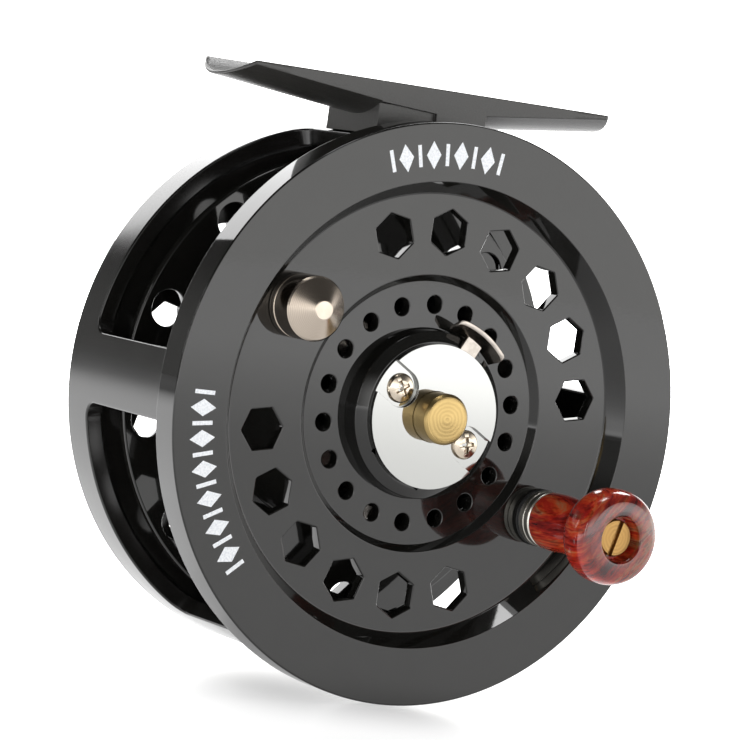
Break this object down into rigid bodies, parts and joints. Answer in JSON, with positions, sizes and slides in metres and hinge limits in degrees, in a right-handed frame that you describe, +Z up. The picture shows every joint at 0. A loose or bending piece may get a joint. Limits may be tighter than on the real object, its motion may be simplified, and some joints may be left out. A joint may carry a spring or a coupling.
{
  "type": "fly reel",
  "caption": "Caged fly reel: palming-rim spool with a turning handle, click, disc drag and rod foot.",
  "frame": {"origin": "middle of the trough in the top of the foot, where the rod's seat lies", "axes": "+Z up from the reel to the rod, X along the rod, +Y along the spindle from the handle side to the drag side"},
  "size_m": [0.08, 0.058, 0.0845],
  "materials": {
    "black_gloss": "gloss black paint",
    "black_cast": "satin black paint on a cast part",
    "chrome": "bright plate",
    "steel": "turned steel",
    "dark_steel": "blued screws",
    "brass": "turned",
    "resin": "marbled red and amber, polished",
    "cork": "composition cork",
    "black_rubber": "matt"
  },
  "bodies": {
    "frame": {"frame": "black_gloss", "foot": "black_cast", "foot_screw_left": "dark_steel", "foot_screw_right": "dark_steel", "spindle": "brass", "spindle_nut": "steel", "knob_screw": "steel", "pawl_post": "dark_steel", "pawl_spring": "steel", "pawl_spring_screw": "dark_steel"},
    "spool": {"spool": "black_gloss", "spool_bushing_front": "brass", "spool_bushing_rear": "brass", "click_gear": "steel", "gear_screw_1": "dark_steel", "gear_screw_2": "dark_steel", "gear_screw_3": "dark_steel", "hub_cap": "chrome", "cap_screw_1": "chrome", "cap_screw_2": "chrome", "latch_spring": "steel", "counterweight": "steel", "counterweight_screw": "dark_steel", "handle_washer": "black_rubber", "handle_ferrule": "steel", "handle_screw": "brass", "handle_nut": "steel"},
    "release_lever": {"release_lever": "steel"},
    "handle": {"handle_knob": "resin", "handle_bushing": "brass"},
    "drag_knob": {"drag_knob": "black_gloss", "drag_spring": "steel"},
    "pressure_plate": {"pressure_plate": "steel", "drag_washer": "cork", "push_pin_1": "steel", "push_pin_2": "steel", "push_pin_3": "steel"},
    "click_pawl": {"click_pawl": "steel"}
  },
  "joints": [
    {"name": "spool_spin", "type": "hinge", "parent": "frame", "child": "spool", "pos_m": [0, 0, -0.04235], "axis": [0, 1, 0], "continuous": true},
    {"name": "handle_spin", "type": "hinge", "parent": "spool", "child": "handle", "pos_m": [0.0216, -0.026, -0.05513], "axis": [0, 1, 0], "continuous": true},
    {"name": "release_slide", "type": "slide", "parent": "spool", "child": "release_lever", "axis": [-0.509, 0, -0.8607], "range_m": [0, 0.00075], "stiffness_N_per_m": 600, "springref_m": -0.002, "deforming": ["latch_spring"]},
    {"name": "drag_turn", "type": "hinge", "parent": "frame", "child": "drag_knob", "pos_m": [0, 0.019, -0.04235], "axis": [0, 1, 0], "range_deg": [0, 300]},
    {"name": "pressure_slide", "type": "slide", "parent": "frame", "child": "pressure_plate", "axis": [0, -1, 0], "range_m": [0, 0.0003]},
    {"name": "pawl_swing", "type": "hinge", "parent": "frame", "child": "click_pawl", "pos_m": [0.0073, 0.009, -0.05499], "axis": [0, 1, 0], "range_deg": [-18, 18], "stiffness_Nm_per_rad": 0.002}
  ],
  "couplings": [
    {"joint": "pressure_slide", "follows": "drag_turn", "m_per_rad": 0.0000572}
  ]
}
